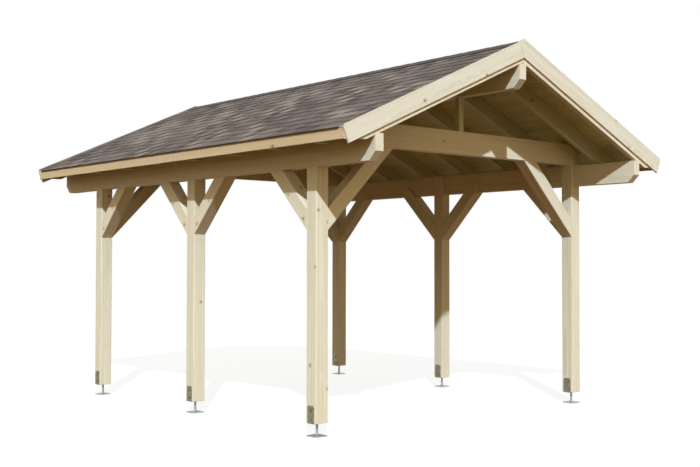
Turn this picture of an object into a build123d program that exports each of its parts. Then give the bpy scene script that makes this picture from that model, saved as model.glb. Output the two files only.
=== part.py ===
from build123d import *

import os
from math import cos, radians, sin, tan

# Softwood carport with a gable roof, an open timber frame on six posts.
# Millimetres. X runs across the gable, Y from the front gable (-Y) to the rear one, Z is up.
# The origin is on the ground, midway between the posts.

# Posts, three in each row
post_side = 120.0
post_rows_apart = 3130.0
post_spacing = 1735.0

# Steel post bases: anchor plate, threaded rod and U-shaped saddle
plate_side = 120.0
plate_thick = 8.0
plate_corner = 8.0
anchor_hole_dia = 12.0
anchor_hole_pitch = 90.0
rod_dia = 20.0
rod_free_length = 92.0
saddle_steel = 5.0
saddle_width = 76.0
saddle_grip = 135.0
saddle_corner = 12.0
saddle_bolt_dia = 11.0
saddle_bolt_pitch = 70.0

# Eaves purlins, ridge purlin and tie beams are cut from one section
beam_width = 80.0
beam_depth = 200.0
purlin_underside = 2075.0
beam_end_chamfer = 70.0
tie_roof_gap = 10.0
king_width = 60.0
king_thick = 50.0

# Knee braces, as thick as the posts, with heads that lap up on the inner face of the beams
brace_angle = 45.0
brace_depth = 120.0
brace_foot = 1587.0
brace_lap = 100.0

# Roof: rafters with birdsmouths, boarding, shingles
roof_pitch = 24.0
rafter_width = 50.0
rafter_depth = 135.0
inner_rafter_count = 8
verge_bay = 399.0
birdsmouth_seat = 40.0
ridge_seat = 22.0
gable_overhang = 677.0
eaves_overhang = 300.0
board_thick = 19.0
shingle_thick = 8.0
shingle_drip = 12.0
ridge_strip_width = 125.0
ridge_strip_thick = 5.0

# Edge boards, and the tilted laths that keep rain from running over the verges
fascia_thick = 22.0
fascia_height = 84.0
tail_setback = 12.0
barge_thick = 18.0
barge_depth = 120.0
barge_joint = 3.0
verge_cap_width = 65.0
verge_cap_thick = 20.0

# Eased edges of planed beams and of thinner boards
beam_arris = 4.0
board_arris = 2.0

# Overrun of every cutting tool, and how far off parallel an edge may be to count as parallel
overrun = 5.0
parallel_share = 0.0001

# Heights and faces that several pieces share
slope = tan(radians(roof_pitch))
plumb = 1 / cos(radians(roof_pitch))
saddle_underside = plate_thick + rod_free_length
post_underside = saddle_underside + saddle_steel
purlin_top = purlin_underside + beam_depth
tie_top = purlin_top + beam_depth
post_inner = post_rows_apart / 2 - post_side / 2
frame_outer = post_inner + post_side
purlin_inner = frame_outer - beam_width
frame_end = post_spacing + post_side / 2
verge_plane = frame_end + gable_overhang
barge_plane = verge_plane + barge_thick
shingle_end = barge_plane - verge_cap_width
purlin_end = verge_plane
fascia_outer = frame_outer + eaves_overhang
fascia_inner = fascia_outer - fascia_thick
roof_edge = fascia_outer + shingle_drip

# The underside of the rafters meets the top of each eaves purlin where the birdsmouth seat starts.
rafter_apex = purlin_top + (frame_outer - birdsmouth_seat) * slope
board_underside_apex = rafter_apex + rafter_depth * plumb
board_top_apex = board_underside_apex + board_thick * plumb
shingle_top_apex = board_top_apex + shingle_thick * plumb
ridge_purlin_top = rafter_apex - (beam_width / 2 - ridge_seat) * slope
ridge_purlin_underside = ridge_purlin_top - beam_depth

sides = {"left": -1, "right": 1}
places = {"front": -1, "middle": 0, "rear": 1}
ends = {"front": -1, "rear": 1}


def on_slope(apex, x):
    """Height of a roof plane whose ridge is at apex, x away from the ridge."""
    return apex - x * slope


def below_plane(apex, height):
    """Distance from the ridge at which a roof plane comes down to a height."""
    return (apex - height) / slope


fascia_underside = on_slope(board_top_apex, fascia_outer) - fascia_height
tail_level = fascia_underside + tail_setback


def along_y(outline, y_low, y_high):
    """Solid with an outline in X and Z, between two planes across Y."""
    corners = [(x, y_low, z) for x, z in outline]
    return extrude(make_face(Polyline(*corners, close=True)), amount=y_high - y_low, dir=(0, 1, 0))


def along_x(outline, x_low, x_high):
    """Solid with an outline in Y and Z, between two planes across X."""
    corners = [(x_low, y, z) for y, z in outline]
    return extrude(make_face(Polyline(*corners, close=True)), amount=x_high - x_low, dir=(1, 0, 0))


def eased(solid, direction, arris):
    """Takes the arris off the long edges of a timber, those that run along a direction."""
    def runs_along(edge):
        return 1 - abs(edge.tangent_at(0).dot(direction)) < parallel_share

    return chamfer(solid.edges().filter_by(runs_along), arris)


def span(a, b):
    """Two limits in rising order."""
    return min(a, b), max(a, b)


def mirrored(outline, side):
    """Outline drawn for the right side, turned over for the left one."""
    return [(side * x, z) for x, z in outline]


def make_foot(x, y):
    """Anchor plate with four holes, and the rod that stands on it."""
    plate = Pos(x, y, plate_thick / 2) * Box(plate_side, plate_side, plate_thick)
    plate = chamfer(plate.edges().filter_by(Axis.Z), plate_corner)
    holes = GridLocations(anchor_hole_pitch, anchor_hole_pitch, 2, 2)
    drill = Cylinder(anchor_hole_dia / 2, plate_thick + 2 * overrun)
    plate -= Pos(x, y, plate_thick / 2) * holes * drill
    rod_middle = plate_thick + rod_free_length / 2
    return plate + Pos(x, y, rod_middle) * Cylinder(rod_dia / 2, rod_free_length)


def make_saddle(x, y):
    """U of folded steel that holds the end of a post between two drilled cheeks."""
    cheek_out = post_side / 2 + saddle_steel
    cheek_in = post_side / 2
    cheek_top = post_underside + saddle_grip
    outline = [
        (x - cheek_out, saddle_underside),
        (x + cheek_out, saddle_underside),
        (x + cheek_out, cheek_top),
        (x + cheek_in, cheek_top),
        (x + cheek_in, post_underside),
        (x - cheek_in, post_underside),
        (x - cheek_in, cheek_top),
        (x - cheek_out, cheek_top),
    ]
    saddle = along_y(outline, y - saddle_width / 2, y + saddle_width / 2)
    bends = saddle.edges().filter_by(Axis.Y).group_by(Axis.Z)[0]
    saddle = fillet(bends, saddle_steel)
    upper_corners = saddle.edges().filter_by(Axis.X).group_by(Axis.Z)[-1]
    saddle = chamfer(upper_corners, saddle_corner)
    drill = Rot(0, 90, 0) * Cylinder(saddle_bolt_dia / 2, 2 * cheek_out + 2 * overrun)
    grip_middle = post_underside + saddle_grip / 2
    for step in (-1, 1):
        saddle -= Pos(x, y, grip_middle + step * saddle_bolt_pitch / 2) * drill
    return saddle


def make_post(side, y):
    """Post notched on its outer side for the purlin, with a tongue up to the tie beam."""
    outline = [
        (post_inner, post_underside),
        (frame_outer, post_underside),
        (frame_outer, purlin_underside),
        (purlin_inner, purlin_underside),
        (purlin_inner, purlin_top),
        (post_inner, purlin_top),
    ]
    post = along_y(mirrored(outline, side), y - post_side / 2, y + post_side / 2)
    return eased(post, Vector(0, 0, 1), beam_arris)


def brace_outline(face, direction, underside, lap):
    """Brace from a post face up to a beam, its plumb foot and level head, lap above the beam's underside."""
    lean = radians(brace_angle)
    reach = (underside - brace_foot) / tan(lean)
    upper_reach = reach - brace_depth / sin(lean) + lap / tan(lean)
    outline = [
        (face, brace_foot),
        (face + direction * reach, underside),
        (face + direction * upper_reach, underside + lap),
        (face, brace_foot + brace_depth / cos(lean)),
    ]
    if lap:
        outline.insert(2, (face + direction * reach, underside + lap))
    return outline


def make_purlin_brace(side, y, direction):
    """Brace flush with both faces of its post, with a cheek on the inner face of the purlin."""
    face = y + direction * post_side / 2
    under = brace_outline(face, direction, purlin_underside, 0)
    cheek = brace_outline(face, direction, purlin_underside, brace_lap)
    brace = along_x(under, *span(side * purlin_inner, side * frame_outer))
    brace += along_x(cheek, *span(side * post_inner, side * purlin_inner))
    grain = Vector(0, direction * cos(radians(brace_angle)), sin(radians(brace_angle)))
    return eased(brace, grain, beam_arris)


def make_tie_brace(side, end):
    """Brace flush with both faces of its post, with a cheek on the inner face of the tie beam."""
    under = brace_outline(side * post_inner, -side, purlin_top, 0)
    cheek = brace_outline(side * post_inner, -side, purlin_top, brace_lap)
    tie_inner = frame_end - beam_width
    brace = along_y(under, *span(end * tie_inner, end * frame_end))
    brace += along_y(cheek, *span(end * (frame_end - post_side), end * tie_inner))
    grain = Vector(-side * cos(radians(brace_angle)), 0, sin(radians(brace_angle)))
    return eased(brace, grain, beam_arris)


def make_purlin(x_low, x_high, underside):
    """Purlin with its lower end corners chamfered."""
    top = underside + beam_depth
    outline = [
        (-purlin_end, top),
        (-purlin_end, underside + beam_end_chamfer),
        (-purlin_end + beam_end_chamfer, underside),
        (purlin_end - beam_end_chamfer, underside),
        (purlin_end, underside + beam_end_chamfer),
        (purlin_end, top),
    ]
    return eased(along_x(outline, x_low, x_high), Vector(0, 1, 0), beam_arris)


def make_tie_beam(end):
    """Tie beam across the purlins, its top corners cut to the roof slope."""
    cut_apex = board_underside_apex - tie_roof_gap
    shoulder = below_plane(cut_apex, tie_top)
    end_top = on_slope(cut_apex, frame_outer)
    outline = [
        (-frame_outer, purlin_top),
        (frame_outer, purlin_top),
        (frame_outer, end_top),
        (shoulder, tie_top),
        (-shoulder, tie_top),
        (-frame_outer, end_top),
    ]
    y_low, y_high = span(end * frame_end, end * (frame_end - beam_width))
    return eased(along_y(outline, y_low, y_high), Vector(1, 0, 0), beam_arris)


def make_king_post(end):
    """Short post from the middle of a tie beam to the ridge purlin."""
    height = ridge_purlin_underside - tie_top
    tie_middle = end * (frame_end - beam_width / 2)
    post = Pos(0, tie_middle, tie_top + height / 2) * Box(king_width, king_thick, height)
    return eased(post, Vector(0, 0, 1), beam_arris)


def rafter_outline():
    """Rafter with birdsmouths over both purlins, and a level cut under its tail."""
    seat_start = frame_outer - birdsmouth_seat
    ridge_heel = beam_width / 2
    return [
        (0, rafter_apex),
        (ridge_heel - ridge_seat, ridge_purlin_top),
        (ridge_heel, ridge_purlin_top),
        (ridge_heel, on_slope(rafter_apex, ridge_heel)),
        (seat_start, purlin_top),
        (frame_outer, purlin_top),
        (frame_outer, on_slope(rafter_apex, frame_outer)),
        (below_plane(rafter_apex, tail_level), tail_level),
        (fascia_inner, tail_level),
        (fascia_inner, on_slope(board_underside_apex, fascia_inner)),
        (0, board_underside_apex),
    ]


def rafter_places():
    """Middles of the rafters along Y: one at each verge and the rest evenly between."""
    verge = verge_plane - rafter_width / 2
    first = verge - verge_bay
    step = 2 * first / (inner_rafter_count - 1)
    inner = [-first + number * step for number in range(inner_rafter_count)]
    return [-verge] + inner + [verge]


def make_rafters(side):
    """All rafters of one slope."""
    outline = mirrored(rafter_outline(), side)
    half = rafter_width / 2
    down_slope = Vector(side, 0, -slope).normalized()
    rafter = eased(along_y(outline, -half, half), down_slope, board_arris)
    return Compound([Pos(0, y, 0) * rafter for y in rafter_places()])


def layer_outline(apex, thick, edge):
    """Slice of roof on one slope, from the ridge to a plumb edge."""
    rise = thick * plumb
    return [
        (0, apex),
        (edge, on_slope(apex, edge)),
        (edge, on_slope(apex, edge) + rise),
        (0, apex + rise),
    ]


def make_layer(side, apex, thick, edge, length_end):
    """Slice of roof on one slope, as far as length_end to the front and to the rear."""
    return along_y(mirrored(layer_outline(apex, thick, edge), side), -length_end, length_end)


def make_ridge_strip():
    """Folded strip of shingle along the ridge, between the verge caps."""
    reach = ridge_strip_width
    rise = ridge_strip_thick * plumb
    edge = on_slope(shingle_top_apex, reach)
    outline = [
        (-reach, edge),
        (0, shingle_top_apex),
        (reach, edge),
        (reach, edge + rise),
        (0, shingle_top_apex + rise),
        (-reach, edge + rise),
    ]
    return along_y(outline, -shingle_end, shingle_end)


def make_fascia(side):
    """Board over the rafter tails, its top bevelled flush with the boarding."""
    outline = [
        (fascia_inner, fascia_underside),
        (fascia_outer, fascia_underside),
        (fascia_outer, on_slope(board_top_apex, fascia_outer)),
        (fascia_inner, on_slope(board_top_apex, fascia_inner)),
    ]
    fascia = along_y(mirrored(outline, side), -verge_plane, verge_plane)
    lower_edges = fascia.edges().filter_by(Axis.Y).group_by(Axis.Z)[0]
    return chamfer(lower_edges, board_arris)


def lower_end(top_apex, depth):
    """Square lower end of a board that hangs below a roof plane, at the edge of the roof."""
    corner = on_slope(top_apex, roof_edge)
    lean = depth * sin(radians(roof_pitch))
    drop = depth * cos(radians(roof_pitch))
    return [(roof_edge, corner), (roof_edge - lean, corner - drop)]


def make_barge_board(side, end):
    """Barge board on the verge rafter: the left one ends square, the right one runs to the apex."""
    apex = board_top_apex
    underside = apex - barge_depth * plumb
    butt = barge_depth * sin(radians(roof_pitch))
    butt_top = on_slope(apex, butt)
    if side > 0:
        ridge_end = [(0, underside), (-butt, butt_top), (0, apex)]
    else:
        back = barge_joint * cos(radians(roof_pitch))
        ridge_end = [(back, on_slope(underside, back)), (butt + back, on_slope(butt_top, back))]
    outline = mirrored(ridge_end + lower_end(apex, barge_depth), side)
    y_low, y_high = span(end * verge_plane, end * barge_plane)
    return eased(along_y(outline, y_low, y_high), Vector(side, 0, -slope).normalized(), board_arris)


def tilt_cut(side, end):
    """All that lies over the tilted top of a verge cap, which falls from its front to the shingles."""
    fall = (verge_cap_thick - shingle_thick) / verge_cap_width
    front = barge_plane + overrun
    back = shingle_end - overrun
    above = 2 * verge_cap_thick
    outline = [
        (end * front, verge_cap_thick + overrun * fall),
        (end * back, shingle_thick - overrun * fall),
        (end * back, above),
        (end * front, above),
    ]
    down = (cos(radians(roof_pitch)), 0, -side * sin(radians(roof_pitch)))
    across = Plane(origin=(0, 0, board_top_apex), x_dir=(0, 1, 0), z_dir=down)
    return extrude(across * make_face(Polyline(*outline, close=True)), amount=roof_edge * plumb, both=True)


def make_verge_cap(side, end):
    """Lath over a barge board and the edge of the boarding: the left one laps over the right one."""
    apex = board_top_apex
    rise = verge_cap_thick * plumb
    lap = rise / (2 * slope)
    lap_top = apex + lap * slope
    if side < 0:
        lean = verge_cap_thick * sin(radians(roof_pitch))
        drop = verge_cap_thick * cos(radians(roof_pitch))
        ridge_end = [(-lap, lap_top), (lean - lap, lap_top + drop)]
    else:
        ridge_end = [(0, apex), (lap, lap_top)]
    outline = mirrored(ridge_end + lower_end(apex + rise, verge_cap_thick), side)
    cap = along_y(outline, *span(end * shingle_end, end * barge_plane))
    return cap - tilt_cut(side, end)


def make_frame():
    """Posts with their bases and braces, and the beams on them."""
    nodes = {}
    for place, row in places.items():
        y = row * post_spacing
        for side_name, side in sides.items():
            x = side * post_rows_apart / 2
            name = f"{place}_{side_name}"
            nodes[f"{name}_foot"] = make_foot(x, y)
            nodes[f"{name}_saddle"] = make_saddle(x, y)
            nodes[f"{name}_post"] = make_post(side, y)
            if row:
                braces = [make_purlin_brace(side, y, -row), make_tie_brace(side, row)]
            else:
                braces = [make_purlin_brace(side, y, -1), make_purlin_brace(side, y, 1)]
            nodes[f"{name}_braces"] = Compound(braces)
    for side_name, side in sides.items():
        x_low, x_high = span(side * purlin_inner, side * frame_outer)
        nodes[f"{side_name}_eaves_purlin"] = make_purlin(x_low, x_high, purlin_underside)
    nodes["ridge_purlin"] = make_purlin(-beam_width / 2, beam_width / 2, ridge_purlin_underside)
    for end_name, end in ends.items():
        nodes[f"{end_name}_tie_beam"] = make_tie_beam(end)
        nodes[f"{end_name}_king_post"] = make_king_post(end)
    return nodes


def make_roof():
    """Rafters, boarding, shingles and edge boards."""
    nodes = {"ridge_strip": make_ridge_strip()}
    for side_name, side in sides.items():
        nodes[f"{side_name}_rafters"] = make_rafters(side)
        boarding = make_layer(side, board_underside_apex, board_thick, fascia_inner, verge_plane)
        nodes[f"{side_name}_boarding"] = boarding
        nodes[f"{side_name}_shingles"] = make_layer(side, board_top_apex, shingle_thick, roof_edge, shingle_end)
        nodes[f"{side_name}_fascia"] = make_fascia(side)
        nodes[f"{side_name}_barge_boards"] = Compound([make_barge_board(side, end) for end in ends.values()])
        nodes[f"{side_name}_verge_caps"] = Compound([make_verge_cap(side, end) for end in ends.values()])
    return nodes


os.makedirs("parts", exist_ok=True)
for node, shape in {**make_frame(), **make_roof()}.items():
    export_step(shape, f"parts/{node}.step")
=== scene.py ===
import math
import random

import bmesh
import bpy
from mathutils import Matrix, Vector


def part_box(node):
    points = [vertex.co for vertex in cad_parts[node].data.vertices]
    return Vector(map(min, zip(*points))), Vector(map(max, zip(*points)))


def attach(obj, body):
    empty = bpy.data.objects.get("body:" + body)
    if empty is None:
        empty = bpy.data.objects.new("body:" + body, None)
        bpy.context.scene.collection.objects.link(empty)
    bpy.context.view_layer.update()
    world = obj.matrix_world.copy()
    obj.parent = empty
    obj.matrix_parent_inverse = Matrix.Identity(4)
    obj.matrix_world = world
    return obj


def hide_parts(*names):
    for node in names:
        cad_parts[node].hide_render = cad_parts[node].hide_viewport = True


bl_info = {
    "name": "Timber carport finish",
    "version": (1, 0, 0),
    "blender": (4, 5, 0),
    "location": "3D View > Sidebar > Carport",
    "description": "Shingles, roof boards, fasteners, timber finishes and stage of an open carport",
    "category": "Object",
}

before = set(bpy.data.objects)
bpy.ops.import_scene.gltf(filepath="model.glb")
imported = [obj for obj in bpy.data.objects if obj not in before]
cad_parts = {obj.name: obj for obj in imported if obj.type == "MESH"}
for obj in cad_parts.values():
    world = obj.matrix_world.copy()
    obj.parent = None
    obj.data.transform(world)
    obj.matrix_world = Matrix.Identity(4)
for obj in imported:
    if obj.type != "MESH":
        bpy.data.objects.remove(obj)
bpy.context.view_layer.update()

MM = 0.001
ROOT = "root"
SIDES = {"left": -1, "right": 1}
PLACES = ("front", "middle", "rear")
ENDS = ("front", "rear")
ALONG_Y = (-math.pi / 2, 0, 0)
ALONG_X = (0, math.pi / 2, 0)

# Middles of the growth rings, in metres, for timbers that share one pattern. The fascias' lie a share of
# the way out to their own middles.
RAFTER_HEART = (0, 0, 2.6)
EDGE_BOARD_HEART = (0, 0, 2.9)
ROOF_BOARD_HEART_X, ROOF_BOARD_HEART_Z = 0.5, 2.4
FASCIA_HEART_SHARE = 0.9
# The verge rafters stand further than this from the middle, and keep the plain spruce. Inner rafters take
# painted shade.
INNER_RAFTER_REACH = 2.3

# Knots that are told apart in the photo: the face of the timber, the distance from the middle of the
# carport along that face, the height above the ground and the radius, all in millimetres
KNOTS = {
    "front_left_post": (("front", -1603, 1741, 8), ("front", -1509, 1651, 7), ("left", -1781, 1303, 6),
                        ("left", -1722, 546, 9), ("front", -1507, 365, 10)),
    "middle_left_post": (("front", -1549, 985, 8),),
    "front_tie_beam": (("front", -231, 2376, 7),),
    "left_barge_boards": (("front", -455, 2821, 10),),
    "right_barge_boards": (("front", 1443, 2388, 6),),
}

# Shingles: tones go from 0, dark, to 1, light. Ranges of thickness are shares of a tab's own, and the
# inset at the eaves is a share of the whole covering's thickness.
RUN_TONES = (0.06, 0.14, 0.2, 0.26, 0.34, 0.42, 0.5, 0.85)
RUN_COURSES = 2
RUN_TONE_SPREAD = 0.05
ROSE_SHARE, ROSE_AMOUNT = 0.2, 0.3
TAB_THICK_RANGE = (0.85, 1.2)
EAVES_INSET = 1.2
FELT_THICK, FELT_SETBACK = 1 * MM, 1 * MM
VERGE_TAB_WIDTH, VERGE_TAB_SETBACK = 65.8 * MM, 11 * MM
VERGE_TONE_RANGE, VERGE_THICK_RANGE = (0.1, 0.5), (0.7, 0.9)
VERGE_CAP_WIDTH, VERGE_CAP_RISE, VERGE_CAP_OVERRUN = 65 * MM, 12 * MM, 30 * MM
FILLET_WIDTH = 4 * MM
RIDGE_TONE_RANGE, RIDGE_SHADE = (0, 0.1), 1.1

# Post bases: the plate, the grip of the saddle and the pitch of its bolts are as in the solids. Washer
# radius and the width of a head across its flats are shares of the bolt's diameter.
PLATE_THICK = 8 * MM
THREAD_PITCH, THREAD_ROOT, THREAD_CREST = 2.5 * MM, 9.9 * MM, 10.8 * MM
THREAD_STEPS, ROUND_STEPS = 20, 24
WELD_RADIUS, WELD_HEIGHT = 17 * MM, 6 * MM
SADDLE_GRIP, BOLT_PITCH = 135 * MM, 70 * MM
WASHER_THICK, WASHER_RADIUS = 2 * MM, 1.4
HEAD_HEIGHT, HEAD_FLATS, HEAD_EASE = 6.4 * MM, 1.7, 1 * MM

# The wave texture's crests are this far apart at a scale of one.
WAVE_UNIT = 2 * math.pi / 20

# Sockets of the mix node, which share their names, for colours and for numbers
MIX_FACTOR, MIX_A, MIX_B, MIX_RESULT = 0, 6, 7, 2
NUMBER_A, NUMBER_B, NUMBER_RESULT = 2, 3, 0
COLOUR_MIX = {"data_type": "RGBA"}
COLOUR_MULTIPLY = {"data_type": "RGBA", "blend_type": "MULTIPLY"}
COLOUR_ADD = {"data_type": "RGBA", "blend_type": "ADD"}


def widest_face_normal(node):
    """Normal of the largest face of a piece."""
    return max(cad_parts[node].data.polygons, key=lambda face: face.area).normal


slope_normal = widest_face_normal("right_shingles")
ROOF_PITCH = math.atan2(abs(slope_normal.x), abs(slope_normal.z))
PLUMB = 1 / math.cos(ROOF_PITCH)
BOARD_UNDERSIDE_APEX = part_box("right_rafters")[1].z
BOARD_TOP_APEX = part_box("right_boarding")[1].z
SHINGLE_TOP_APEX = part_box("right_shingles")[1].z
BOARD_THICK = (BOARD_TOP_APEX - BOARD_UNDERSIDE_APEX) / PLUMB
SHINGLE_THICK = (SHINGLE_TOP_APEX - BOARD_TOP_APEX) / PLUMB


def linear(hex_colour):
    """Linear colour of an sRGB hex value."""
    channels = [int(hex_colour[i:i + 2], 16) / 255 for i in (0, 2, 4)]
    return tuple(c / 12.92 if c <= 0.04045 else ((c + 0.055) / 1.055) ** 2.4 for c in channels)


def opaque(colour):
    """A colour with full alpha, as shader sockets take it."""
    return (*colour, 1)


class CarportSizes(bpy.types.PropertyGroup):
    """Sizes of what is laid on the frame and bolted to it"""

    course_height: bpy.props.FloatProperty(
        name="Course height", description="Part of a shingle that shows, down the slope",
        default=0.145, unit="LENGTH")
    tab_width: bpy.props.FloatProperty(
        name="Tab width", description="Width of a shingle tab", default=0.13, unit="LENGTH")
    stair_step: bpy.props.FloatProperty(
        name="Stair step", description="Shift along the roof from a course to the one above",
        default=0.195, unit="LENGTH")
    tab_thick: bpy.props.FloatProperty(
        name="Tab thickness", description="Thickness of a shingle", default=0.0024, unit="LENGTH")
    tab_gap: bpy.props.FloatProperty(
        name="Tab gap", description="Slot between two tabs", default=0.004, unit="LENGTH")
    tab_lap: bpy.props.FloatProperty(
        name="Tab lap", description="Length of a tab under the course above", default=0.05, unit="LENGTH")
    board_width: bpy.props.FloatProperty(
        name="Board width", description="Face width of a roof board", default=0.096, unit="LENGTH")
    board_joint: bpy.props.FloatProperty(
        name="Board joint", description="Chamfer on each side of a joint between boards",
        default=0.004, unit="LENGTH")
    ridge_cap_length: bpy.props.FloatProperty(
        name="Ridge cap length", description="Part of a ridge cap that shows", default=0.163, unit="LENGTH")
    bolt_dia: bpy.props.FloatProperty(
        name="Bolt", description="Diameter of the bolts through the posts", default=0.010, unit="LENGTH")


class CarportColours(bpy.types.PropertyGroup):
    """Colours of the finishes, and the tints of roof boards and inner timbers, which paint the shade under
    the roof
    """

    spruce_pale: bpy.props.FloatVectorProperty(
        name="Spruce, pale", description="Early wood of planed spruce", subtype="COLOR",
        default=linear("DBD6C2"))
    spruce_honey: bpy.props.FloatVectorProperty(
        name="Spruce, honey", description="Darker streaks of planed spruce", subtype="COLOR",
        default=linear("CCBF9A"))
    spruce_pink: bpy.props.FloatVectorProperty(
        name="Spruce, pink", description="Rosy streaks of planed spruce", subtype="COLOR",
        default=linear("DACDB9"))
    late_wood: bpy.props.FloatVectorProperty(
        name="Late wood", description="Darker bands of the growth rings", subtype="COLOR",
        default=linear("A98F62"))
    knot: bpy.props.FloatVectorProperty(
        name="Knot", description="Heart of a knot", subtype="COLOR", default=linear("7C6240"))
    fascia_tint: bpy.props.FloatVectorProperty(
        name="Fascia tint", description="Honey tint of the fascias over the spruce", subtype="COLOR",
        default=linear("E7D5C1"))
    edge_tint: bpy.props.FloatVectorProperty(
        name="Edge tint", description="Cool tint of barge boards and verge caps over the spruce",
        subtype="COLOR", default=linear("F9FAFF"))
    # Painted shade: the roof boards' tint darkens them as the shade under the roof does.
    lining_shade_tint: bpy.props.FloatVectorProperty(
        name="Roof board tint", description="Darker tint of the roof boards over the spruce", subtype="COLOR",
        default=linear("E7EDC6"))
    # Painted shade: inner rafters and king posts, which stand in the shade under the roof, are tinted darker
    # and olive.
    inner_shade_tint: bpy.props.FloatVectorProperty(
        name="Rafter tint", description="Olive tint of inner rafters and king posts over the spruce",
        subtype="COLOR", default=linear("E4EFE2"))
    shingle_dark: bpy.props.FloatVectorProperty(
        name="Shingle, dark", description="Darkest granules", subtype="COLOR", default=linear("4B423D"))
    shingle_light: bpy.props.FloatVectorProperty(
        name="Shingle, light", description="Lightest granules", subtype="COLOR", default=linear("887C74"))
    shingle_rose: bpy.props.FloatVectorProperty(
        name="Shingle, rose", description="Rosy granules of some tabs", subtype="COLOR",
        default=linear("8C7B77"))
    saddle_steel: bpy.props.FloatVectorProperty(
        name="Saddle steel", description="Yellowish zinc on saddles and bolts", subtype="COLOR",
        default=linear("918B73"))
    foot_steel: bpy.props.FloatVectorProperty(
        name="Foot steel", description="Bright zinc on plates and rods", subtype="COLOR",
        default=linear("B8B8B4"))


class CarportStage(bpy.types.PropertyGroup):
    """Light, and the colour that the floor throws back"""

    sun_strength: bpy.props.FloatProperty(
        name="Sun", description="Strength of the sun", default=4.36)
    sun_colour: bpy.props.FloatVectorProperty(
        name="Sun colour", description="Colour of the sun", subtype="COLOR", default=linear("E2F1FF"))
    fill_strength: bpy.props.FloatProperty(
        name="Fill", description="Strength of all soft light", default=1.0)
    horizon_colour: bpy.props.FloatVectorProperty(
        name="Horizon", description="Dim soft light from all sides", subtype="COLOR",
        default=linear("765E3B"))
    front_colour: bpy.props.FloatVectorProperty(
        name="Front", description="Soft light from the front", subtype="COLOR", default=linear("FFEBBF"))
    left_colour: bpy.props.FloatVectorProperty(
        name="Left", description="Soft light from the left", subtype="COLOR", default=linear("8E864F"))
    sky_colour: bpy.props.FloatVectorProperty(
        name="Sky", description="Soft light from the upper left", subtype="COLOR", default=linear("FFFDF4"))
    back_colour: bpy.props.FloatVectorProperty(
        name="Back", description="Soft light from the upper rear right", subtype="COLOR",
        default=linear("9C9890"))
    floor_colour: bpy.props.FloatVectorProperty(
        name="Floor", description="Colour that the floor throws back at the object", subtype="COLOR",
        default=linear("6A450F"))


def add_node(tree, kind, inputs=None, **settings):
    """Adds a node with its settings. An input takes a value, or a socket to link to."""
    made = tree.nodes.new("ShaderNode" + kind)
    for name, value in settings.items():
        setattr(made, name, value)
    for name, value in (inputs or {}).items():
        if isinstance(value, bpy.types.NodeSocket):
            tree.links.new(value, made.inputs[name])
        else:
            made.inputs[name].default_value = value
    return made.outputs


def new_material(name):
    """An empty material and its node tree."""
    material = bpy.data.materials.new(name)
    material.use_nodes = True
    material.node_tree.nodes.clear()
    return material, material.node_tree


def brace_axes(tree, where, post_y):
    """Position along and across the two braces of one post, of which either runs up at 45 degrees."""
    post_low, post_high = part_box("front_right_post")
    post_x = (post_low.x + post_high.x) / 2
    x, y, z = add_node(tree, "SeparateXYZ", {"Vector": where})[:3]
    off_middle = add_node(tree, "Math", {0: x}, operation="ABSOLUTE")[0]
    from_post_y = add_node(tree, "Math", {0: y, 1: post_y}, operation="SUBTRACT")[0]
    from_post_y = add_node(tree, "Math", {0: from_post_y}, operation="ABSOLUTE")[0]
    from_post_x = add_node(tree, "Math", {0: post_x, 1: off_middle}, operation="SUBTRACT")[0]
    outer = add_node(tree, "Math", {0: off_middle, 1: post_low.x - 1 * MM}, operation="GREATER_THAN")[0]
    run = add_node(tree, "Mix", {MIX_FACTOR: outer, NUMBER_A: from_post_x, NUMBER_B: from_post_y},
                   data_type="FLOAT")[NUMBER_RESULT]
    side = add_node(tree, "Mix", {MIX_FACTOR: outer, NUMBER_A: y, NUMBER_B: x},
                    data_type="FLOAT")[NUMBER_RESULT]
    up = add_node(tree, "Math", {0: run, 1: z}, operation="ADD")[0]
    across = add_node(tree, "Math", {0: run, 1: z}, operation="SUBTRACT")[0]
    half = math.sqrt(0.5)
    axes = add_node(tree, "CombineXYZ", {"X": side, "Y": across, "Z": up})[0]
    return add_node(tree, "VectorMath", {0: axes, 1: (1, half, half)}, operation="MULTIPLY")[0]


def knots_on(node):
    """Places and radii of the knots on a timber that are told apart in the photo."""
    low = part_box(node)[0]
    places = []
    for face, along, height, radius in KNOTS.get(node, ()):
        if face == "front":
            place = (along * MM, low.y, height * MM)
        else:
            place = (low.x, along * MM, height * MM)
        places.append((place, radius * MM))
    return places


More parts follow.
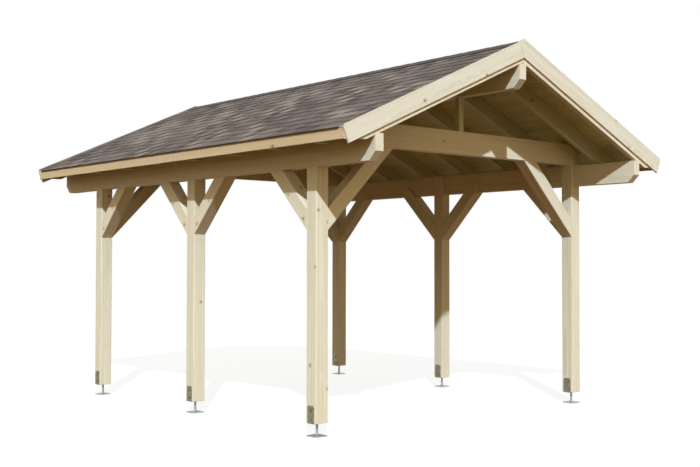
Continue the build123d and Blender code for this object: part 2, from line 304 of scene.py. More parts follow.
def outside_knots(tree, where, local, clear, knots_at):
    """How far a point lies outside the nearest knot. Knots pass through the timber as branches do, about
    a hand's width apart, and more stand at given places."""
    cell_across, cell_along = 130 * MM, 330 * MM
    x, y, z = add_node(tree, "SeparateXYZ", {"Vector": local})[:3]
    through = add_node(tree, "Math", {0: x, 1: y}, operation="ADD")[0]
    flat = add_node(tree, "CombineXYZ", {"X": through, "Y": z})[0]
    to_cells = (1 / cell_across, 1 / cell_along, 1)
    cells = add_node(tree, "VectorMath", {0: flat, 1: to_cells}, operation="MULTIPLY")[0]
    knots = add_node(tree, "TexVoronoi", {"Vector": cells, "Scale": 1}, voronoi_dimensions="2D")
    offset = add_node(tree, "VectorMath", {0: cells, 1: knots["Position"]}, operation="SUBTRACT")[0]
    # A knot is a third longer along the grain than across it.
    to_metres = (cell_across, cell_along * 0.75, 0)
    offset = add_node(tree, "VectorMath", {0: offset, 1: to_metres}, operation="MULTIPLY")[0]
    away = add_node(tree, "VectorMath", {0: offset}, operation="LENGTH")["Value"]
    draw = add_node(tree, "SeparateColor", {"Color": knots["Color"]})[0]
    radius = add_node(tree, "MapRange", {"Value": draw, "From Min": clear - 0.1, "From Max": 1,
                                         "To Min": 0, "To Max": 11 * MM})[0]
    outside = add_node(tree, "Math", {0: away, 1: radius}, operation="SUBTRACT")[0]
    # A cell without a knot counts as a metre away from it.
    without = add_node(tree, "Math", {0: draw, 1: clear}, operation="LESS_THAN")[0]
    outside = add_node(tree, "Math", {0: outside, 1: without}, operation="ADD")[0]
    for place, size in knots_at:
        gap = add_node(tree, "VectorMath", {0: where, 1: place}, operation="DISTANCE")["Value"]
        gap = add_node(tree, "Math", {0: gap, 1: size}, operation="SUBTRACT")[0]
        outside = add_node(tree, "Math", {0: outside, 1: gap}, operation="MINIMUM")[0]
    return outside


def spruce(name, turn=(0, 0, 0), heart=(0, 0, 0), tint=None, tint_reach=None, honey=0.75, clear=0.68,
           tone_from=None, brace_of=None, knots_at=()):
    """Planed, untreated spruce: pale cream with soft honey streaks along the grain, faint growth
    rings that curve on the end grain, and a few small brown knots. Clear is the share without knots,
    honey the strength of the streaks, and a tint may reach only so far from the middle of the roof."""
    colours = bpy.context.scene.carport_colours
    material, tree = new_material(name)
    where = add_node(tree, "TexCoord")["Object"]
    if brace_of is not None:
        where = brace_axes(tree, where, brace_of)
    local = add_node(tree, "Mapping", {"Vector": where, "Location": heart, "Rotation": turn},
                     vector_type="TEXTURE")["Vector"]

    # The grain sways by a few millimetres over the length of an arm.
    long_waves = add_node(tree, "VectorMath", {0: local, 1: (1, 1, 0.15)}, operation="MULTIPLY")[0]
    sway = add_node(tree, "TexNoise", {"Vector": long_waves, "Scale": 1 / (150 * MM), "Detail": 1})["Color"]
    swayed = add_node(tree, "VectorMath", {0: sway, 1: (25 * MM, 25 * MM, 0), 2: local},
                      operation="MULTIPLY_ADD")[0]

    outside = outside_knots(tree, where, local, clear, knots_at)
    knot = add_node(tree, "MapRange", {"Value": outside, "From Min": 2 * MM, "From Max": -4 * MM})[0]
    halo = add_node(tree, "MapRange", {"Value": outside, "From Min": 18 * MM, "From Max": 0,
                                       "To Max": 0.5})[0]

    # Growth rings are 2 to 4 mm wide: 9 mm here, so that they show. They bend round a knot.
    bend = add_node(tree, "Math", {0: halo, 1: 14 * MM}, operation="MULTIPLY")[0]
    bent = add_node(tree, "VectorMath", {0: swayed, 1: bend}, operation="ADD")[0]
    rings = add_node(tree, "TexWave", {"Vector": bent, "Scale": WAVE_UNIT / (9 * MM), "Distortion": 1.2,
                                       "Detail": 1, "Detail Scale": 0.4},
                     wave_type="RINGS", rings_direction="Z", wave_profile="SAW")["Fac"]
    late_wood = add_node(tree, "Math", {0: rings, 1: 3}, operation="POWER")[0]

    # Streaks along the grain, about 30 mm wide, and fibres drawn 3 mm wide, so that they show
    stretched = add_node(tree, "VectorMath", {0: bent, 1: (1, 1, 0.03)}, operation="MULTIPLY")[0]
    streaks = add_node(tree, "TexNoise", {"Vector": stretched, "Scale": 1 / (30 * MM), "Detail": 2})[0]
    fibres = add_node(tree, "TexNoise", {"Vector": stretched, "Scale": 1 / (3 * MM), "Detail": 2})[0]
    hue = add_node(tree, "TexNoise", {"Vector": stretched, "Scale": 1 / (55 * MM), "Detail": 1})["Color"]
    rosy = add_node(tree, "SeparateColor", {"Color": hue})[1]

    streak = add_node(tree, "MapRange", {"Value": streaks, "From Min": 0.35, "From Max": 0.75,
                                         "To Min": 0, "To Max": honey})[0]
    colour = add_node(tree, "Mix", {MIX_FACTOR: streak, MIX_A: opaque(colours.spruce_pale),
                                    MIX_B: opaque(colours.spruce_honey)}, **COLOUR_MIX)[MIX_RESULT]
    rosy = add_node(tree, "MapRange", {"Value": rosy, "From Min": 0.45, "From Max": 0.65, "To Max": 0.6})[0]
    colour = add_node(tree, "Mix", {MIX_FACTOR: rosy, MIX_A: colour, MIX_B: opaque(colours.spruce_pink)},
                      **COLOUR_MIX)[MIX_RESULT]
    late = add_node(tree, "Math", {0: late_wood, 1: 0.22}, operation="MULTIPLY")[0]
    colour = add_node(tree, "Mix", {MIX_FACTOR: late, MIX_A: colour, MIX_B: opaque(colours.late_wood)},
                      **COLOUR_MIX)[MIX_RESULT]
    fibre = add_node(tree, "MapRange", {"Value": fibres, "From Min": 0.3, "From Max": 0.7,
                                        "To Min": 0.94, "To Max": 1.04})[0]
    colour = add_node(tree, "Mix", {MIX_FACTOR: 1, MIX_A: colour, MIX_B: fibre},
                      **COLOUR_MULTIPLY)[MIX_RESULT]
    colour = add_node(tree, "Mix", {MIX_FACTOR: halo, MIX_A: colour, MIX_B: opaque(colours.late_wood)},
                      **COLOUR_MIX)[MIX_RESULT]
    colour = add_node(tree, "Mix", {MIX_FACTOR: knot, MIX_A: colour, MIX_B: opaque(colours.knot)},
                      **COLOUR_MIX)[MIX_RESULT]
    # On roof boards, inner rafters and king posts the tint is painted shade; on fascias and barge boards it
    # is their own colour.
    if tint is not None:
        inside = 1
        if tint_reach is not None:
            along = add_node(tree, "SeparateXYZ", {"Vector": where})["Y"]
            along = add_node(tree, "Math", {0: along}, operation="ABSOLUTE")[0]
            inside = add_node(tree, "Math", {0: along, 1: tint_reach}, operation="LESS_THAN")[0]
        colour = add_node(tree, "Mix", {MIX_FACTOR: inside, MIX_A: colour, MIX_B: opaque(tint)},
                          **COLOUR_MULTIPLY)[MIX_RESULT]
    if tone_from:
        tone = add_node(tree, "Attribute", attribute_name=tone_from)["Fac"]
        shade = add_node(tree, "MapRange", {"Value": tone, "To Min": 0.84, "To Max": 1.08})[0]
        colour = add_node(tree, "Mix", {MIX_FACTOR: 1, MIX_A: colour, MIX_B: shade},
                          **COLOUR_MULTIPLY)[MIX_RESULT]

    roughness = add_node(tree, "MapRange", {"Value": fibres, "To Min": 0.58, "To Max": 0.78})[0]
    height = add_node(tree, "Math", {0: late_wood, 1: 0.4, 2: fibres}, operation="MULTIPLY_ADD")[0]
    bump = add_node(tree, "Bump", {"Height": height, "Strength": 0.25, "Distance": 0.5 * MM})["Normal"]
    surface = add_node(tree, "BsdfPrincipled", {
        "Base Color": colour, "Roughness": roughness, "Normal": bump, "IOR": 1.5,
        "Specular IOR Level": 0.25})[0]
    add_node(tree, "OutputMaterial", {"Surface": surface})
    return material


def bitumen_shingle(name, shade=1.0):
    """Bitumen shingle with mineral granules: dull, brown-grey, each tab of its own tone, with a
    coarse speckle of lighter and darker grains."""
    colours = bpy.context.scene.carport_colours
    material, tree = new_material(name)
    where = add_node(tree, "TexCoord")["Object"]
    tone = add_node(tree, "Attribute", attribute_name="tone")["Fac"]
    rose = add_node(tree, "Attribute", attribute_name="rose")["Fac"]
    # Granules are 1 to 2 mm: 7 mm here, so that they show. Blotches are about 120 mm wide.
    grains = add_node(tree, "TexNoise", {"Vector": where, "Scale": 1 / (7 * MM), "Detail": 2})[0]
    blotch = add_node(tree, "TexNoise", {"Vector": where, "Scale": 1 / (120 * MM), "Detail": 2})[0]
    level = add_node(tree, "MapRange", {"Value": blotch, "From Min": 0.3, "From Max": 0.7,
                                        "To Min": -0.08, "To Max": 0.08})[0]
    level = add_node(tree, "Math", {0: tone, 1: level}, operation="ADD", use_clamp=True)[0]
    colour = add_node(tree, "Mix", {MIX_FACTOR: level, MIX_A: opaque(colours.shingle_dark),
                                    MIX_B: opaque(colours.shingle_light)}, **COLOUR_MIX)[MIX_RESULT]
    colour = add_node(tree, "Mix", {MIX_FACTOR: rose, MIX_A: colour, MIX_B: opaque(colours.shingle_rose)},
                      **COLOUR_MIX)[MIX_RESULT]
    speckle = add_node(tree, "MapRange", {"Value": grains, "From Min": 0.3, "From Max": 0.7,
                                          "To Min": 0.78 * shade, "To Max": 1.2 * shade})[0]
    colour = add_node(tree, "Mix", {MIX_FACTOR: 1, MIX_A: colour, MIX_B: speckle},
                      **COLOUR_MULTIPLY)[MIX_RESULT]
    bump = add_node(tree, "Bump", {"Height": grains, "Strength": 0.5, "Distance": 1 * MM})["Normal"]
    surface = add_node(tree, "BsdfPrincipled", {
        "Base Color": colour, "Roughness": 0.92, "Normal": bump, "IOR": 1.5,
        "Specular IOR Level": 0.2})[0]
    add_node(tree, "OutputMaterial", {"Surface": surface})
    return material


def galvanised_steel(name, zinc):
    """Hot-dip galvanised steel: dull grey zinc with faint spangle, no sharp reflections."""
    material, tree = new_material(name)
    where = add_node(tree, "TexCoord")["Object"]
    # Spangle is about 9 mm across, and stains about 40 mm.
    spangle = add_node(tree, "TexVoronoi", {"Vector": where, "Scale": 1 / (9 * MM)})["Color"]
    spangle = add_node(tree, "SeparateColor", {"Color": spangle})[0]
    stain = add_node(tree, "TexNoise", {"Vector": where, "Scale": 1 / (40 * MM), "Detail": 3})[0]
    shade = add_node(tree, "MapRange", {"Value": spangle, "To Min": 0.92, "To Max": 1.06})[0]
    colour = add_node(tree, "Mix", {MIX_FACTOR: 1, MIX_A: opaque(zinc), MIX_B: shade},
                      **COLOUR_MULTIPLY)[MIX_RESULT]
    dull = add_node(tree, "MapRange", {"Value": stain, "From Min": 0.45, "From Max": 0.75,
                                       "To Min": 1, "To Max": 0.8})[0]
    colour = add_node(tree, "Mix", {MIX_FACTOR: 1, MIX_A: colour, MIX_B: dull},
                      **COLOUR_MULTIPLY)[MIX_RESULT]
    roughness = add_node(tree, "MapRange", {"Value": stain, "To Min": 0.4, "To Max": 0.65})[0]
    bump = add_node(tree, "Bump", {"Height": stain, "Strength": 0.1, "Distance": 0.3 * MM})["Normal"]
    surface = add_node(tree, "BsdfPrincipled", {
        "Base Color": colour, "Metallic": 1.0, "Roughness": roughness, "Normal": bump})[0]
    add_node(tree, "OutputMaterial", {"Surface": surface})
    return material


def dress(node, material):
    """Gives a carried-over piece its finish."""
    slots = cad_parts[node].data.materials
    slots.clear()
    slots.append(material)


def centre_of(node):
    """Middle of a piece's box."""
    low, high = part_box(node)
    return (low + high) / 2


def roof_axes(side, apex):
    """From a slope's own axes, along the ridge, down the slope and out of it, to the model's."""
    down = Vector((side * math.cos(ROOF_PITCH), 0, -math.sin(ROOF_PITCH)))
    out = Vector((side * math.sin(ROOF_PITCH), 0, math.cos(ROOF_PITCH)))
    turn = Matrix((down.cross(out), down, out)).transposed().to_4x4()
    return Matrix.Translation((0, 0, apex)) @ turn


def add_block(bm, axes, size, centre):
    """Adds a box of a size, centred in given axes, and returns its corners."""
    place = axes @ Matrix.Translation(centre) @ Matrix.Diagonal((*size, 1))
    return bmesh.ops.create_cube(bm, size=1, matrix=place)["verts"]


def faces_of(verts):
    """Faces on a set of corners."""
    return {face for vert in verts for face in vert.link_faces}


def edges_of(verts):
    """Edges on a set of corners."""
    return list({edge for vert in verts for edge in vert.link_edges})


def finish_piece(bm, name, material, replaced=None):
    """Makes an object of a mesh, which rides on the frame."""
    mesh = bpy.data.meshes.new(name)
    bm.to_mesh(mesh)
    bm.free()
    mesh.materials.append(material)
    piece = bpy.data.objects.new(name, mesh)
    bpy.context.scene.collection.objects.link(piece)
    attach(piece, ROOT)
    if replaced:
        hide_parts(replaced)


def down_slope(side):
    """Turn of a timber that runs down one slope of the roof."""
    return (0, side * (math.pi / 2 + ROOF_PITCH), 0)


class CARPORT_OT_frame_finish(bpy.types.Operator):
    """Spruce on posts, braces, purlins, tie beams, king posts and rafters, most with a heart of their own"""

    bl_idname = "carport.frame_finish"
    bl_label = "Frame finish"

    def execute(self, context):
        colours = context.scene.carport_colours
        draw = random.Random(5)

        def heart(node, spread):
            shift = Vector([draw.uniform(-spread, spread) for _ in range(3)])
            return centre_of(node) + shift

        for place in PLACES:
            for side in SIDES:
                name = f"{place}_{side}"
                post = f"{name}_post"
                known = knots_on(post)
                dress(post, spruce(f"spruce_{post}", heart=heart(post, 50 * MM), clear=1 if known else 0.8,
                                   knots_at=known))
                post_y = centre_of(post).y
                dress(f"{name}_braces", spruce(f"spruce_{name}_braces", brace_of=post_y, clear=0.86))
        for node in ("left_eaves_purlin", "right_eaves_purlin", "ridge_purlin"):
            dress(node, spruce(f"spruce_{node}", turn=ALONG_Y, heart=heart(node, 40 * MM), clear=0.93))
        for end in ENDS:
            tie, king = f"{end}_tie_beam", f"{end}_king_post"
            known = knots_on(tie)
            dress(tie, spruce(f"spruce_{tie}", turn=ALONG_X, heart=heart(tie, 40 * MM),
                              clear=1 if known else 0.8, knots_at=known))
            # The king post's tint is painted shade under the roof.
            dress(king, spruce(f"spruce_{king}", heart=heart(king, 30 * MM), tint=colours.inner_shade_tint))
        for side_name, side in SIDES.items():
            node = f"{side_name}_rafters"
            # The inner rafters' tint is painted shade under the roof.
            dress(node, spruce(f"spruce_{node}", turn=down_slope(side), heart=RAFTER_HEART, clear=0.94,
                               tint=colours.inner_shade_tint, tint_reach=INNER_RAFTER_REACH))
        return {"FINISHED"}


class CARPORT_OT_edge_boards(bpy.types.Operator):
    """Honey spruce on fascias, and paler spruce on barge boards and verge caps"""

    bl_idname = "carport.edge_boards"
    bl_label = "Edge boards"

    def execute(self, context):
        colours = context.scene.carport_colours
        for side_name, side in SIDES.items():
            fascia = f"{side_name}_fascia"
            heart = centre_of(fascia) * FASCIA_HEART_SHARE
            dress(fascia, spruce(f"spruce_{fascia}", turn=ALONG_Y, heart=heart, clear=0.9,
                                 tint=colours.fascia_tint))
            for kind in ("barge_boards", "verge_caps"):
                node = f"{side_name}_{kind}"
                dress(node, spruce(f"spruce_{node}", turn=down_slope(side), heart=EDGE_BOARD_HEART,
                                   honey=0.35, clear=0.9, tint=colours.edge_tint,
                                   knots_at=knots_on(node)))
        return {"FINISHED"}


class CARPORT_OT_roof_boards(bpy.types.Operator):
    """Roof boards on the rafters, with a V joint between neighbours"""

    bl_idname = "carport.roof_boards"
    bl_label = "Roof boards"

    def execute(self, context):
        sizes = context.scene.carport_sizes
        draw = random.Random(11)
        for side_name, side in SIDES.items():
            low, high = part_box(f"{side_name}_boarding")
            slope_length = (high.x - low.x) * PLUMB
            count = round(slope_length / sizes.board_width)
            width = slope_length / count
            axes = roof_axes(side, BOARD_UNDERSIDE_APEX)
            bm = bmesh.new()
            tone = bm.faces.layers.float.new("tone")
            for number in range(count):
                size = (high.y - low.y, width, BOARD_THICK)
                verts = add_block(bm, axes, size, (0, (number + 0.5) * width, BOARD_THICK / 2))
                long_edges = [e for e in edges_of(verts) if e.calc_length() > width * 2]
                made = bmesh.ops.bevel(bm, geom=long_edges, affect="EDGES", offset=sizes.board_joint,
                                       segments=1, profile=0.5, material=-1)
                board_tone = draw.random()
                for face in faces_of(made["verts"]):
                    face[tone] = board_tone
            heart = (side * ROOF_BOARD_HEART_X, 0, ROOF_BOARD_HEART_Z)
            # The roof boards' tint is painted shade under the roof.
            material = spruce(f"spruce_{side_name}_roof_boards", turn=ALONG_Y, heart=heart,
                              tint=context.scene.carport_colours.lining_shade_tint, clear=0.96, tone_from="tone")
            finish_piece(bm, f"{side_name}_roof_boards", material,
                         f"{side_name}_boarding")
        return {"FINISHED"}


class CARPORT_OT_shingles(bpy.types.Operator):
    """Courses of shingle tabs on both slopes, each tab of its own tone"""

    bl_idname = "carport.shingles"
    bl_label = "Shingles"

    def execute(self, context):
        sizes = context.scene.carport_sizes
        draw = random.Random(23)
        material = bitumen_shingle("bitumen_shingle")
        for side_name, side in SIDES.items():
            low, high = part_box(f"{side_name}_shingles")
            slope_length = (high.x - low.x) * PLUMB
            half = (high.y - low.y) / 2
            axes = roof_axes(side, BOARD_TOP_APEX)
            bm = bmesh.new()
            tone = bm.faces.layers.float.new("tone")
            rose = bm.faces.layers.float.new("rose")
            felt_length = slope_length - FELT_SETBACK
            add_block(bm, axes, (2 * half, felt_length, FELT_THICK), (0, felt_length / 2, FELT_THICK / 2))
            # The lowest tabs end a little inside the plumb edge of the roof.
            lowest = slope_length - EAVES_INSET * SHINGLE_THICK * math.tan(ROOF_PITCH)
            courses = math.ceil(lowest / sizes.course_height)
            runs = {}
            for course in range(courses):
                butt = lowest - course * sizes.course_height
                self.lay_course(bm, axes, butt, half, course, runs, sizes, draw, tone, rose)
            # The left cap runs over the ridge, so the right one's tabs start below it.
            top = 0 if side < 0 else VERGE_CAP_OVERRUN
            self.drape_verges(bm, axes, top, slope_length - VERGE_TAB_SETBACK, half, sizes, draw, tone)
            finish_piece(bm, f"{side_name}_shingle_courses", material,
                         f"{side_name}_shingles")
        return {"FINISHED"}

    def lay_course(self, bm, axes, butt, half, course, runs, sizes, draw, tone, rose):
        """Lays one course of tabs whose lower ends are at a distance from the ridge. Courses are laid in
        stair steps from each pack, so tabs of one tone run aslant over two courses."""
        length = min(sizes.course_height + sizes.tab_lap, butt)
        rise = SHINGLE_THICK - sizes.tab_thick
        tilt = math.asin(rise / (sizes.course_height + sizes.tab_lap))
        lay = axes @ Matrix.Translation((0, butt, 0)) @ Matrix.Rotation(tilt, 4, "X")
        # The slopes' own axes run opposite ways along the ridge.
        rearward = 1 if lay.to_3x3().col[0].y > 0 else -1
        shift = rearward * course * sizes.stair_step
        width = sizes.tab_width
        for number in range(math.floor((-half - shift) / width), math.ceil((half - shift) / width)):
            first = max(number * width + shift, -half)
            last = min((number + 1) * width + shift, half)
            run = (course // RUN_COURSES, number)
            if run not in runs:
                runs[run] = draw.choice(RUN_TONES)
            tab_tone = runs[run] + draw.uniform(-RUN_TONE_SPREAD, RUN_TONE_SPREAD)
            tab_rose = ROSE_AMOUNT if draw.random() < ROSE_SHARE else 0
            tab_thick = sizes.tab_thick * draw.uniform(*TAB_THICK_RANGE)
            size_along = last - first - sizes.tab_gap
            if size_along < sizes.tab_gap:
                continue
            centre = ((first + last) / 2, -length / 2, rise + tab_thick / 2)
            verts = add_block(bm, lay, (size_along, length, tab_thick), centre)
            for face in faces_of(verts):
                face[tone] = tab_tone
                face[rose] = tab_rose

    def drape_verges(self, bm, axes, start, butt, half, sizes, draw, tone):
        """Lays tabs up the tilted tops of the verge caps, to their outer edges, and a fillet beside each."""
        width = VERGE_TAB_WIDTH
        tilt = math.atan2(VERGE_CAP_RISE, VERGE_CAP_WIDTH)
        for end in (-1, 1):
            lay = Matrix.Translation((end * half, 0, SHINGLE_THICK)) @ Matrix.Rotation(-end * tilt, 4, "Y")
            fillet = (FILLET_WIDTH, butt - start, SHINGLE_THICK)
            middle = end * (half - FILLET_WIDTH / 2)
            add_block(bm, axes, fillet, (middle, (start + butt) / 2, SHINGLE_THICK / 2))
            top = start
            while top < butt:
                length = min(sizes.course_height, butt - top)
                thick = sizes.tab_thick * draw.uniform(*VERGE_THICK_RANGE)
                centre = (end * width / 2, top + length / 2, thick / 2)
                verts = add_block(bm, axes @ lay, (width, length, thick), centre)
                tab_tone = draw.uniform(*VERGE_TONE_RANGE)
                for face in faces_of(verts):
                    face[tone] = tab_tone
                top += length


class CARPORT_OT_ridge_caps(bpy.types.Operator):
    """Folded shingle caps that lap along the ridge"""

    bl_idname = "carport.ridge_caps"
    bl_label = "Ridge caps"

    def execute(self, context):
        sizes = context.scene.carport_sizes
        draw = random.Random(31)
        low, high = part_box("ridge_strip")
        reach = high.x
        count = round((high.y - low.y) / sizes.ridge_cap_length)
        step = (high.y - low.y) / count
        bm = bmesh.new()
        tone = bm.faces.layers.float.new("tone")
        bm.faces.layers.float.new("rose")
        strip_thick = high.z - SHINGLE_TOP_APEX
        for number in range(count):
            made = bmesh.ops.create_grid(bm, x_segments=2, y_segments=1, size=1)
            verts = made["verts"]
            start = low.y + number * step
            end = min(start + step + sizes.tab_lap, high.y)
            for vert in verts:
                lifted = strip_thick if vert.co.y < 0 else strip_thick / 2
                along = start if vert.co.y < 0 else end
                x = vert.co.x * reach
                vert.co = (x, along, SHINGLE_TOP_APEX - abs(x) * math.tan(ROOF_PITCH) + lifted)
            faces = list(faces_of(verts))
            cap_tone = draw.uniform(*RIDGE_TONE_RANGE)
            for face in faces:
                face[tone] = cap_tone
            bmesh.ops.recalc_face_normals(bm, faces=faces)
            skin = bmesh.ops.solidify(bm, geom=faces, thickness=sizes.tab_thick)
            for item in skin["geom"]:
                if isinstance(item, bmesh.types.BMFace):
                    item[tone] = cap_tone
        material = bitumen_shingle("bitumen_shingle_ridge", RIDGE_SHADE)
        finish_piece(bm, "ridge_caps", material, "ridge_strip")
        return {"FINISHED"}


class CARPORT_OT_post_bases(bpy.types.Operator):
    """Zinc on the post bases, with threads, welds and the bolts through the posts"""

    bl_idname = "carport.post_bases"
    bl_label = "Post bases"

    def execute(self, context):
        sizes = context.scene.carport_sizes
        colours = context.scene.carport_colours
        saddle_zinc = galvanised_steel("yellowish_zinc", colours.saddle_steel)
        foot_zinc = galvanised_steel("bright_zinc", colours.foot_steel)
        for place in PLACES:
            for side in SIDES:
                name = f"{place}_{side}"
                dress(f"{name}_foot", foot_zinc)
                dress(f"{name}_saddle", saddle_zinc)
                bm = bmesh.new()
                self.add_rod(bm, name)
                finish_piece(bm, f"{name}_thread", foot_zinc)
                bm = bmesh.new()
                self.add_bolts(bm, name, sizes.bolt_dia)
                finish_piece(bm, f"{name}_bolts", saddle_zinc)
        return {"FINISHED"}

    def add_rod(self, bm, name):
        """Thread on the rod, and the weld round its foot."""
        low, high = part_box(f"{name}_foot")
        foot = ((low + high) / 2).xy.to_3d()
        half_turns = 2 * int((high.z - PLATE_THICK) / THREAD_PITCH)
        profile = []
        for number in range(half_turns + 1):
            radius = THREAD_CREST if number % 2 else THREAD_ROOT
            height = PLATE_THICK + number * THREAD_PITCH / 2
            profile.append(bm.verts.new(foot + Vector((radius, 0, height))))
        edges = [bm.edges.new(pair) for pair in zip(profile, profile[1:])]
        bmesh.ops.spin(bm, geom=profile + edges, cent=foot, axis=(0, 0, 1), angle=2 * math.pi,
                       steps=THREAD_STEPS, use_merge=True)
        bmesh.ops.recalc_face_normals(bm, faces=bm.faces)
        weld = Matrix.Translation((foot.x, foot.y, PLATE_THICK + WELD_HEIGHT / 2))
        bmesh.ops.create_cone(bm, cap_ends=True, segments=ROUND_STEPS, radius1=WELD_RADIUS,
                              radius2=THREAD_CREST, depth=WELD_HEIGHT, matrix=weld)

    def add_bolts(self, bm, name, dia):
        """Two bolts through the cheeks: washer and head on one side, washer and nut on the other."""
        low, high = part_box(f"{name}_saddle")
        centre = (low + high) / 2
        middle = high.z - SADDLE_GRIP / 2
        radius = WASHER_RADIUS * dia
        for z in (middle - BOLT_PITCH / 2, middle + BOLT_PITCH / 2):
            for direction, face in ((-1, low.x), (1, high.x)):
                turn = Matrix.Rotation(direction * math.pi / 2, 4, "Y")
                out = Matrix.Translation((face, centre.y, z)) @ turn
                washer = out @ Matrix.Translation((0, 0, WASHER_THICK / 2))
                bmesh.ops.create_cone(bm, cap_ends=True, segments=ROUND_STEPS, radius1=radius,
                                      radius2=radius, depth=WASHER_THICK, matrix=washer)
                head = out @ Matrix.Translation((0, 0, WASHER_THICK + HEAD_HEIGHT / 2))
                self.add_hex(bm, head, HEAD_FLATS * dia, HEAD_HEIGHT)

    def add_hex(self, bm, place, across_flats, height):
        """A hexagon with eased edges."""
        radius = across_flats / math.sqrt(3)
        made = bmesh.ops.create_cone(bm, cap_ends=True, segments=6, radius1=radius, radius2=radius,
                                     depth=height, matrix=place)
        bmesh.ops.bevel(bm, geom=edges_of(made["verts"]), affect="EDGES", offset=HEAD_EASE, segments=1,
                        profile=0.5, material=-1)


# Camera that was fitted to the photograph, whose frame is 700 by 467 pixels
IMAGE_WIDTH = 700
FOCAL_PIXELS = 1072.08
CAMERA_PLACE = (-6.7671, -8.2025, 1.3325)
CAMERA_YAW, CAMERA_TILT, CAMERA_ROLL = (math.radians(a) for a in (40.5517, 1.5895, 0.0900))
SENSOR_WIDTH = 36
# Sun whose shadows lie as in the photograph, and the white floor
SUN_TRAVEL = (0.5163, 0.6532, -0.5538)
SUN_ANGLE = math.radians(1.0)
FLOOR_HALF_WIDTH = 40
FLOOR_GLOW, FLOOR_MATT = 0.9, (0.12, 0.12, 0.12)
WHITE, BLACK = (1, 1, 1, 1), (0, 0, 0, 1)


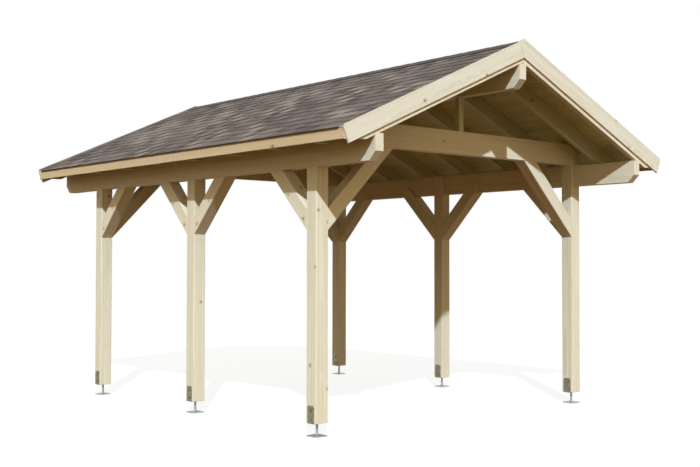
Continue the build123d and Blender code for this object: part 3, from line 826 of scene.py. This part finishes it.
class CARPORT_OT_stage(bpy.types.Operator):
    """Pale floor, sun, fill light and camera"""

    bl_idname = "carport.stage"
    bl_label = "Stage"

    def execute(self, context):
        scene = context.scene
        self.add_floor(scene)
        self.add_light(scene)
        self.add_camera(scene)
        scene.view_settings.view_transform = "Standard"
        return {"FINISHED"}

    def seen_directly(self, tree):
        """One for rays from the camera, from metal and through glass, and nought for light on the object."""
        path = add_node(tree, "LightPath")
        seen = add_node(tree, "Math", {0: path["Is Camera Ray"], 1: path["Is Glossy Ray"]},
                        operation="MAXIMUM")[0]
        return add_node(tree, "Math", {0: seen, 1: path["Is Transmission Ray"]}, operation="MAXIMUM")[0]

    def add_floor(self, scene):
        """Floor that looks white, keeps a faint shadow and throws warm light back at the object."""
        stage = scene.carport_stage
        bm = bmesh.new()
        bmesh.ops.create_grid(bm, x_segments=1, y_segments=1, size=FLOOR_HALF_WIDTH)
        mesh = bpy.data.meshes.new("floor")
        bm.to_mesh(mesh)
        bm.free()
        floor = bpy.data.objects.new("floor", mesh)
        scene.collection.objects.link(floor)
        material, tree = new_material("white_floor")
        glow = add_node(tree, "Emission", {"Color": WHITE, "Strength": FLOOR_GLOW})[0]
        matt = add_node(tree, "BsdfDiffuse", {"Color": opaque(FLOOR_MATT)})[0]
        white = add_node(tree, "AddShader", {0: glow, 1: matt})[0]
        thrown = add_node(tree, "BsdfDiffuse", {"Color": opaque(stage.floor_colour)})[0]
        surface = add_node(tree, "MixShader", {0: self.seen_directly(tree), 1: thrown, 2: white})[0]
        add_node(tree, "OutputMaterial", {"Surface": surface})
        mesh.materials.append(material)

    def add_light(self, scene):
        """Sun from the front left, and soft light that is strongest from the front and the upper left."""
        stage = scene.carport_stage
        lamp = bpy.data.lights.new("sun", "SUN")
        lamp.energy = stage.sun_strength
        lamp.color = stage.sun_colour
        lamp.angle = SUN_ANGLE
        sun = bpy.data.objects.new("sun", lamp)
        sun.rotation_euler = Vector(SUN_TRAVEL).to_track_quat("-Z", "Y").to_euler()
        scene.collection.objects.link(sun)
        world = bpy.data.worlds.new("studio")
        world.use_nodes = True
        tree = world.node_tree
        tree.nodes.clear()
        white = add_node(tree, "Background", {"Color": WHITE, "Strength": 1.0})[0]
        toward = add_node(tree, "TexCoord")["Generated"]
        height = add_node(tree, "SeparateXYZ", {"Vector": toward})["Z"]
        steepness = add_node(tree, "Math", {0: height, 1: height}, operation="MULTIPLY")[0]
        sky = add_node(tree, "Mix", {MIX_FACTOR: steepness, MIX_A: opaque(stage.horizon_colour),
                                     MIX_B: BLACK}, **COLOUR_MIX)[MIX_RESULT]
        soft_boxes = (((0, -1, 0), 2, stage.front_colour), ((-1, 0, 0), 2, stage.left_colour),
                      ((-1, 0, 1), 4, stage.sky_colour), ((0.7, 0.7, 1), 4, stage.back_colour))
        for side, narrowness, colour in soft_boxes:
            along = add_node(tree, "VectorMath", {0: toward, 1: Vector(side).normalized()},
                             operation="DOT_PRODUCT")["Value"]
            ahead = add_node(tree, "Math", {0: along, 1: 0}, operation="MAXIMUM")[0]
            share = add_node(tree, "Math", {0: ahead, 1: narrowness}, operation="POWER")[0]
            sky = add_node(tree, "Mix", {MIX_FACTOR: share, MIX_A: sky, MIX_B: opaque(colour)},
                           **COLOUR_ADD)[MIX_RESULT]
        fill = add_node(tree, "Background", {"Color": sky, "Strength": stage.fill_strength})[0]
        surface = add_node(tree, "MixShader", {0: self.seen_directly(tree), 1: fill, 2: white})[0]
        add_node(tree, "OutputWorld", {"Surface": surface})
        scene.world = world

    def add_camera(self, scene):
        """Camera at the photograph's angle."""
        data = bpy.data.cameras.new("camera")
        data.sensor_width = SENSOR_WIDTH
        data.lens = FOCAL_PIXELS * SENSOR_WIDTH / IMAGE_WIDTH
        camera = bpy.data.objects.new("camera", data)
        turn = Matrix.Rotation(-CAMERA_YAW, 4, "Z") @ Matrix.Rotation(math.pi / 2 + CAMERA_TILT, 4, "X")
        camera.matrix_world = Matrix.Translation(CAMERA_PLACE) @ turn @ Matrix.Rotation(CAMERA_ROLL, 4, "Z")
        scene.collection.objects.link(camera)
        scene.camera = camera


class CARPORT_PT_panel(bpy.types.Panel):
    """Lists the steps that finish the carport"""

    bl_idname = "CARPORT_PT_panel"
    bl_label = "Carport"
    bl_space_type = "VIEW_3D"
    bl_region_type = "UI"
    bl_category = "Carport"

    def draw(self, context):
        for step in STEPS:
            self.layout.operator(step.bl_idname)


STEPS = (CARPORT_OT_frame_finish, CARPORT_OT_edge_boards, CARPORT_OT_roof_boards, CARPORT_OT_shingles,
         CARPORT_OT_ridge_caps, CARPORT_OT_post_bases, CARPORT_OT_stage)
GROUPS = {"carport_sizes": CarportSizes, "carport_colours": CarportColours, "carport_stage": CarportStage}


def register():
    for group in GROUPS.values():
        bpy.utils.register_class(group)
    for name, group in GROUPS.items():
        setattr(bpy.types.Scene, name, bpy.props.PointerProperty(type=group))
    for step in (*STEPS, CARPORT_PT_panel):
        bpy.utils.register_class(step)


def unregister():
    for step in (*STEPS, CARPORT_PT_panel):
        bpy.utils.unregister_class(step)
    for name, group in GROUPS.items():
        delattr(bpy.types.Scene, name)
        bpy.utils.unregister_class(group)


def main():
    register()
    bpy.ops.carport.frame_finish()
    bpy.ops.carport.edge_boards()
    bpy.ops.carport.roof_boards()
    bpy.ops.carport.shingles()
    bpy.ops.carport.ridge_caps()
    bpy.ops.carport.post_bases()
    bpy.ops.carport.stage()


if __name__ == "__main__":
    main()
